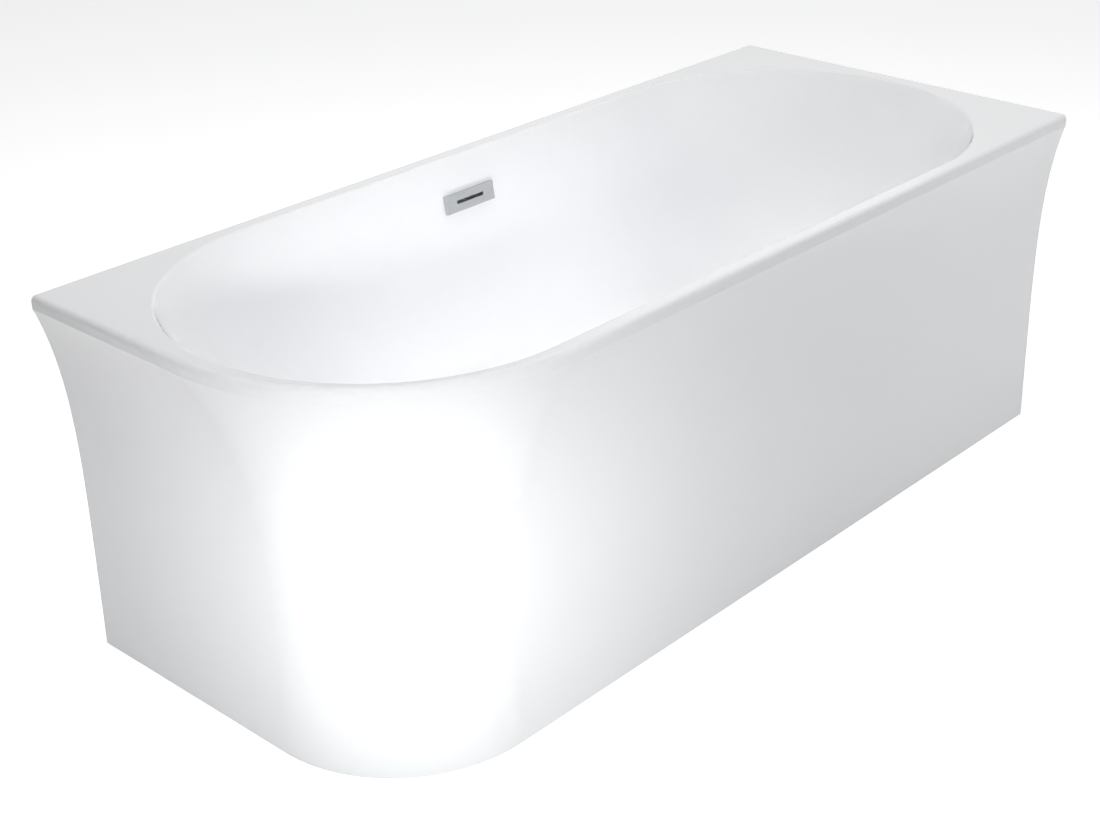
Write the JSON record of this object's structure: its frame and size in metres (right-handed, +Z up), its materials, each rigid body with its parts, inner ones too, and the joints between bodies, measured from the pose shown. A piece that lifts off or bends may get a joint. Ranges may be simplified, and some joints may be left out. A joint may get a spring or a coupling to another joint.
{
  "type": "bathtub",
  "caption": "Corner bathtub of moulded acrylic with a rounded free corner, one-piece flared apron, slotted overflow, pop-up waste with trap, and a framed base on levelling feet.",
  "frame": {"origin": "on the floor under the middle of the bath's outline", "axes": "+X along the bath to the end that meets the end wall, +Y to the back wall, +Z up"},
  "size_m": [1.65, 0.7, 0.6],
  "materials": {
    "acrylic": "high gloss white sanitary acrylic",
    "apron_acrylic": "high gloss white sanitary acrylic",
    "board": "raw particle board",
    "timber": "planed softwood",
    "zinc_steel": "zinc plated",
    "screw_steel": "bright zinc",
    "cap_plastic": "matte moulded",
    "pad_rubber": "matte moulded hard plastic",
    "plate_chrome": "satin chrome",
    "collar_steel": "satin stainless",
    "brass": "turned brass",
    "seal_rubber": "matte black rubber",
    "pipe_plastic": "white polypropylene",
    "nut_plastic": "dark grey polypropylene"
  },
  "bodies": {
    "tub": {"apron_batten_front": "timber", "apron_batten_left": "timber", "apron_panel": "apron_acrylic", "base_board": "board", "bracket_screws": "screw_steel", "corner_board_back_left": "board", "corner_board_back_right": "board", "corner_board_front_right": "board", "cross_rail_left": "zinc_steel", "cross_rail_right": "zinc_steel", "floor_brackets": "zinc_steel", "lock_nuts": "screw_steel", "outlet_nut": "nut_plastic", "outlet_pipe": "pipe_plastic", "outlet_seal": "seal_rubber", "overflow_chamber": "pipe_plastic", "overflow_collar": "collar_steel", "overflow_gasket": "seal_rubber", "overflow_pipe": "pipe_plastic", "overflow_plate": "plate_chrome", "overflow_screws": "screw_steel", "pipe_nut_lower": "nut_plastic", "pipe_nut_upper": "nut_plastic", "pipe_seal_lower": "seal_rubber", "pipe_seal_upper": "seal_rubber", "plug_cartridge": "brass", "rail_bushes": "screw_steel", "rail_end_caps": "cap_plastic", "rail_screws": "screw_steel", "rim_batten_back": "timber", "rim_batten_front": "timber", "rim_batten_left": "timber", "rim_batten_right": "timber", "trap_body": "pipe_plastic", "trap_cup": "nut_plastic", "trap_cup_seal": "seal_rubber", "trap_nut": "nut_plastic", "trap_washer": "seal_rubber", "tub_shell": "acrylic", "wall_clip_back_left": "zinc_steel", "wall_clip_back_right": "zinc_steel", "wall_clip_end": "zinc_steel", "waste_body": "pipe_plastic", "waste_body_seal": "seal_rubber", "waste_flange": "plate_chrome", "waste_flange_seal": "seal_rubber"},
    "plug": {"plug_cap": "plate_chrome", "plug_seal": "seal_rubber", "plug_stem": "brass"},
    "foot_1": {"foot_spindle_1": "screw_steel", "foot_pad_1": "pad_rubber"},
    "foot_2": {"foot_spindle_2": "screw_steel", "foot_pad_2": "pad_rubber"},
    "foot_3": {"foot_spindle_3": "screw_steel", "foot_pad_3": "pad_rubber"},
    "foot_4": {"foot_spindle_4": "screw_steel", "foot_pad_4": "pad_rubber"}
  },
  "joints": [
    {"name": "plug_lift", "type": "slide", "parent": "tub", "child": "plug", "axis": [0, 0, 1], "range_m": [0, 0.009]},
    {"name": "foot_1_level", "type": "slide", "parent": "tub", "child": "foot_1", "axis": [0, 0, 1], "range_m": [-0.012, 0.018]},
    {"name": "foot_2_level", "type": "slide", "parent": "tub", "child": "foot_2", "axis": [0, 0, 1], "range_m": [-0.012, 0.018]},
    {"name": "foot_3_level", "type": "slide", "parent": "tub", "child": "foot_3", "axis": [0, 0, 1], "range_m": [-0.012, 0.018]},
    {"name": "foot_4_level", "type": "slide", "parent": "tub", "child": "foot_4", "axis": [0, 0, 1], "range_m": [-0.012, 0.018]}
  ]
}
